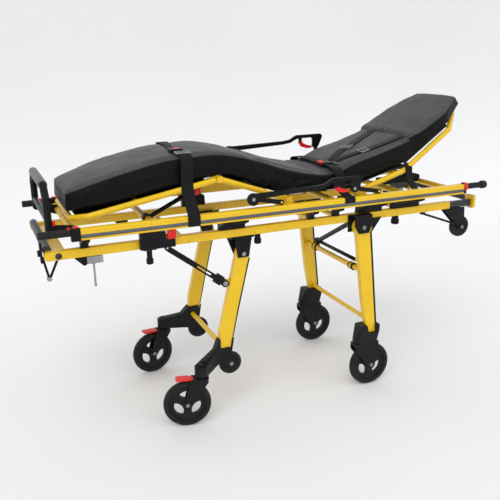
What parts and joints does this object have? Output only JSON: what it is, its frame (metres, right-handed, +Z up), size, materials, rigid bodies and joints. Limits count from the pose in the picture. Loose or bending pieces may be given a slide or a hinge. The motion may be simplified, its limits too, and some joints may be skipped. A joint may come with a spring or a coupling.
{
  "type": "stretcher trolley",
  "caption": "Wheeled stretcher with folding legs, sliding litter, jointed mattress with tilting backrest and knee bend, drop-down side arms, push handle and pull-out carrying grips.",
  "frame": {"origin": "on the floor, under the centre of the bounding box", "axes": "+X towards the head end, +Y towards the patient's right side, +Z up"},
  "size_m": [1.992, 0.628, 1.288],
  "materials": {
    "yellow_paint": "satin powder coat",
    "dark_grey_tube": "satin",
    "black_metal": "semi-gloss powder coat",
    "black_plastic": "fine texture",
    "steel": "brushed",
    "red_plastic": "semi-gloss",
    "wheel_grey": "matte rubber on a grey plastic hub",
    "mattress_cover": "coated fabric with a soft sheen",
    "webbing": "woven webbing"
  },
  "bodies": {
    "undercarriage": {"lower_rails": "yellow_paint", "chassis_end_bars": "dark_grey_tube", "chassis_cross_members": "yellow_paint", "foot_leg_brackets": "black_metal", "head_leg_brackets": "black_metal", "slide_guides": "black_plastic", "loading_wheel_brackets": "black_metal", "dock_fitting": "yellow_paint", "lock_catch": "steel", "release_housing": "black_plastic"},
    "litter": {"upper_rails": "yellow_paint", "litter_end_fittings": "black_plastic", "upper_cross_tubes": "yellow_paint", "seat_pad": "mattress_cover"},
    "foot_legs": {"foot_legs": "yellow_paint", "foot_leg_cross_tube": "yellow_paint", "foot_caster_arms": "black_metal"},
    "head_legs": {"head_legs": "yellow_paint", "head_leg_cross_tubes": "yellow_paint", "head_leg_brace": "black_metal", "head_caster_sockets": "black_metal"},
    "backrest": {"back_frame": "yellow_paint", "back_pad": "mattress_cover", "harness": "webbing"},
    "thigh": {"thigh_frame": "yellow_paint", "thigh_pad": "mattress_cover"},
    "calf": {"calf_frame": "yellow_paint", "calf_pad": "mattress_cover", "leg_strap": "webbing"},
    "push_handle": {"push_handle": "black_metal"},
    "foot_leg_strut": {"foot_leg_strut": "black_metal"},
    "knee_strut": {"knee_strut": "black_metal"},
    "back_strut": {"back_strut": "black_metal"},
    "release_button": {"release_button": "red_plastic"},
    "loading_wheel_left": {"loading_wheel_left": "wheel_grey"},
    "loading_wheel_right": {"loading_wheel_right": "wheel_grey"},
    "small_wheel_left": {"small_wheel_left": "wheel_grey"},
    "small_wheel_right": {"small_wheel_right": "wheel_grey"},
    "foot_fork_left": {"foot_fork_left": "black_metal"},
    "foot_fork_right": {"foot_fork_right": "black_metal"},
    "foot_wheel_left": {"foot_wheel_left": "wheel_grey"},
    "foot_wheel_right": {"foot_wheel_right": "wheel_grey"},
    "brake_pedal_left": {"brake_pedal_left": "red_plastic"},
    "brake_pedal_right": {"brake_pedal_right": "red_plastic"},
    "head_fork_left": {"head_fork_left": "black_metal"},
    "head_fork_right": {"head_fork_right": "black_metal"},
    "head_wheel_left": {"head_wheel_left": "wheel_grey"},
    "head_wheel_right": {"head_wheel_right": "wheel_grey"},
    "foot_grip_left": {"foot_grip_left": "black_plastic"},
    "foot_grip_right": {"foot_grip_right": "black_plastic"},
    "head_grip_left": {"head_grip_left": "black_plastic"},
    "head_grip_right": {"head_grip_right": "black_plastic"},
    "arm_left": {"arm_left": "black_metal"},
    "arm_right": {"arm_right": "black_metal"},
    "arm_lever_left": {"arm_lever_left": "red_plastic"},
    "arm_lever_right": {"arm_lever_right": "red_plastic"},
    "rear_link_left": {"rear_link_left": "black_metal"},
    "rear_link_right": {"rear_link_right": "black_metal"},
    "front_link_left": {"front_link_left": "black_metal"},
    "front_link_right": {"front_link_right": "black_metal"}
  },
  "joints": [
    {"name": "litter_slide", "type": "slide", "parent": "undercarriage", "child": "litter", "axis": [-1, 0, 0], "range_m": [0, 0.35]},
    {"name": "foot_legs_fold", "type": "hinge", "parent": "undercarriage", "child": "foot_legs", "pos_m": [-0.19, 0, 0.701], "axis": [0, 1, 0], "range_deg": [0, 60]},
    {"name": "head_legs_fold", "type": "hinge", "parent": "undercarriage", "child": "head_legs", "pos_m": [0.35, 0, 0.76], "axis": [0, 1, 0], "range_deg": [0, 84]},
    {"name": "backrest_tilt", "type": "hinge", "parent": "litter", "child": "backrest", "pos_m": [0.345, 0, 0.9], "axis": [0, -1, 0], "range_deg": [-17, 42]},
    {"name": "thigh_tilt", "type": "hinge", "parent": "litter", "child": "thigh", "pos_m": [0, 0, 0.916], "axis": [0, 1, 0], "range_deg": [-19.9, 0]},
    {"name": "rear_link_left_turn", "type": "hinge", "parent": "litter", "child": "rear_link_left", "pos_m": [-0.043, -0.291, 0.914], "axis": [0, 1, 0], "range_deg": [0, 82]},
    {"name": "rear_link_right_turn", "type": "hinge", "parent": "litter", "child": "rear_link_right", "pos_m": [-0.043, 0.291, 0.914], "axis": [0, 1, 0], "range_deg": [-82, 0]},
    {"name": "push_handle_fold", "type": "hinge", "parent": "litter", "child": "push_handle", "pos_m": [-0.946, 0, 0.893], "axis": [0, -1, 0], "range_deg": [0, 90]},
    {"name": "arm_lever_left_squeeze", "type": "hinge", "parent": "arm_left", "child": "arm_lever_left", "pos_m": [0.205, -0.292, 0.958], "axis": [0, -1, 0], "range_deg": [0, 12], "stiffness_Nm_per_rad": 2, "springref_deg": -2.86},
    {"name": "arm_lever_right_squeeze", "type": "hinge", "parent": "arm_right", "child": "arm_lever_right", "pos_m": [0.341, 0.292, 1.062], "axis": [0, -1, 0], "range_deg": [0, 12], "stiffness_Nm_per_rad": 2, "springref_deg": -2.86},
    {"name": "foot_grip_left_slide", "type": "slide", "parent": "litter", "child": "foot_grip_left", "axis": [-1, 0, 0], "range_m": [0, 0.15]},
    {"name": "foot_grip_right_slide", "type": "slide", "parent": "litter", "child": "foot_grip_right", "axis": [-1, 0, 0], "range_m": [0, 0.15]},
    {"name": "head_grip_left_slide", "type": "slide", "parent": "litter", "child": "head_grip_left", "axis": [1, 0, 0], "range_m": [0, 0.15]},
    {"name": "head_grip_right_slide", "type": "slide", "parent": "litter", "child": "head_grip_right", "axis": [1, 0, 0], "range_m": [0, 0.15]},
    {"name": "release_button_press", "type": "slide", "parent": "undercarriage", "child": "release_button", "axis": [-1, 0, 0], "range_m": [0, 0.006], "stiffness_N_per_m": 1500, "springref_m": -0.001},
    {"name": "brake_pedal_left_press", "type": "hinge", "parent": "foot_fork_left", "child": "brake_pedal_left", "pos_m": [-0.44908, -0.27556, 0.208], "axis": [-0.2164, -0.9763, 0], "range_deg": [0, 7]},
    {"name": "brake_pedal_right_press", "type": "hinge", "parent": "foot_fork_right", "child": "brake_pedal_right", "pos_m": [-0.44962, 0.27857, 0.208], "axis": [0.1392, -0.9903, 0], "range_deg": [0, 7]},
    {"name": "foot_swivel_left", "type": "hinge", "parent": "foot_legs", "child": "foot_fork_left", "pos_m": [-0.411, -0.284, 0.24], "axis": [0, 0, 1], "continuous": true},
    {"name": "foot_swivel_right", "type": "hinge", "parent": "foot_legs", "child": "foot_fork_right", "pos_m": [-0.411, 0.284, 0.24], "axis": [0, 0, 1], "continuous": true},
    {"name": "head_swivel_left", "type": "hinge", "parent": "head_legs", "child": "head_fork_left", "pos_m": [0.383, -0.272, 0.236], "axis": [0, 0, 1], "continuous": true},
    {"name": "head_swivel_right", "type": "hinge", "parent": "head_legs", "child": "head_fork_right", "pos_m": [0.383, 0.272, 0.236], "axis": [0, 0, 1], "continuous": true},
    {"name": "foot_wheel_left_roll", "type": "hinge", "parent": "foot_fork_left", "child": "foot_wheel_left", "pos_m": [-0.47348, -0.27015, 0.1], "axis": [0.2164, 0.9763, 0], "continuous": true},
    {"name": "foot_wheel_right_roll", "type": "hinge", "parent": "foot_fork_right", "child": "foot_wheel_right", "pos_m": [-0.47438, 0.27509, 0.1], "axis": [-0.1392, 0.9903, 0], "continuous": true},
    {"name": "head_wheel_left_roll", "type": "hinge", "parent": "head_fork_left", "child": "head_wheel_left", "pos_m": [0.408, -0.272, 0.1], "axis": [0, 1, 0], "continuous": true},
    {"name": "head_wheel_right_roll", "type": "hinge", "parent": "head_fork_right", "child": "head_wheel_right", "pos_m": [0.408, 0.272, 0.1], "axis": [0, 1, 0], "continuous": true},
    {"name": "small_wheel_left_roll", "type": "hinge", "parent": "foot_legs", "child": "small_wheel_left", "pos_m": [-0.257, -0.214, 0.217], "axis": [0, 1, 0], "continuous": true},
    {"name": "small_wheel_right_roll", "type": "hinge", "parent": "foot_legs", "child": "small_wheel_right", "pos_m": [-0.257, 0.214, 0.217], "axis": [0, 1, 0], "continuous": true},
    {"name": "loading_wheel_left_roll", "type": "hinge", "parent": "undercarriage", "child": "loading_wheel_left", "pos_m": [0.902, -0.242, 0.692], "axis": [0, 1, 0], "continuous": true},
    {"name": "loading_wheel_right_roll", "type": "hinge", "parent": "undercarriage", "child": "loading_wheel_right", "pos_m": [0.902, 0.242, 0.692], "axis": [0, 1, 0], "continuous": true},
    {"name": "foot_leg_strut_turn", "type": "hinge", "parent": "foot_legs", "child": "foot_leg_strut", "pos_m": [-0.27, -0.214, 0.58], "axis": [0, 1, 0], "range_deg": [-89, 1]},
    {"name": "calf_tilt", "type": "hinge", "parent": "thigh", "child": "calf", "pos_m": [-0.281, 0, 1.018], "axis": [0, 1, 0], "range_deg": [-1, 32]},
    {"name": "arm_left_level", "type": "hinge", "parent": "rear_link_left", "child": "arm_left", "pos_m": [-0.171, -0.291, 0.94], "axis": [0, 1, 0], "range_deg": [-84, 2]},
    {"name": "front_link_left_turn", "type": "hinge", "parent": "litter", "child": "front_link_left", "pos_m": [0.418, -0.291, 0.914], "axis": [0, 1, 0], "range_deg": [-2, 84]},
    {"name": "arm_right_level", "type": "hinge", "parent": "rear_link_right", "child": "arm_right", "pos_m": [-0.035, 0.291, 1.044], "axis": [0, 1, 0], "range_deg": [-2, 84]},
    {"name": "front_link_right_turn", "type": "hinge", "parent": "litter", "child": "front_link_right", "pos_m": [0.418, 0.291, 0.914], "axis": [0, 1, 0], "range_deg": [-84, 2]},
    {"name": "knee_strut_turn", "type": "hinge", "parent": "litter", "child": "knee_strut", "pos_m": [-0.56, -0.135, 0.873], "axis": [0, 1, 0], "range_deg": [-1, 28]},
    {"name": "back_strut_turn", "type": "hinge", "parent": "backrest", "child": "back_strut", "pos_m": [0.556, 0, 0.9654], "axis": [0, -1, 0], "range_deg": [-75, 31.5]}
  ],
  "couplings": [
    {"joint": "foot_leg_strut_turn", "follows": "foot_legs_fold", "ratio": -1.459},
    {"joint": "calf_tilt", "follows": "thigh_tilt", "ratio": -1.5104},
    {"joint": "arm_left_level", "follows": "rear_link_left_turn", "ratio": -1},
    {"joint": "front_link_left_turn", "follows": "rear_link_left_turn", "ratio": 1},
    {"joint": "arm_right_level", "follows": "rear_link_right_turn", "ratio": -1},
    {"joint": "front_link_right_turn", "follows": "rear_link_right_turn", "ratio": 1},
    {"joint": "knee_strut_turn", "follows": "thigh_tilt", "ratio": -1.26},
    {"joint": "back_strut_turn", "follows": "backrest_tilt", "ratio": -1.74}
  ]
}
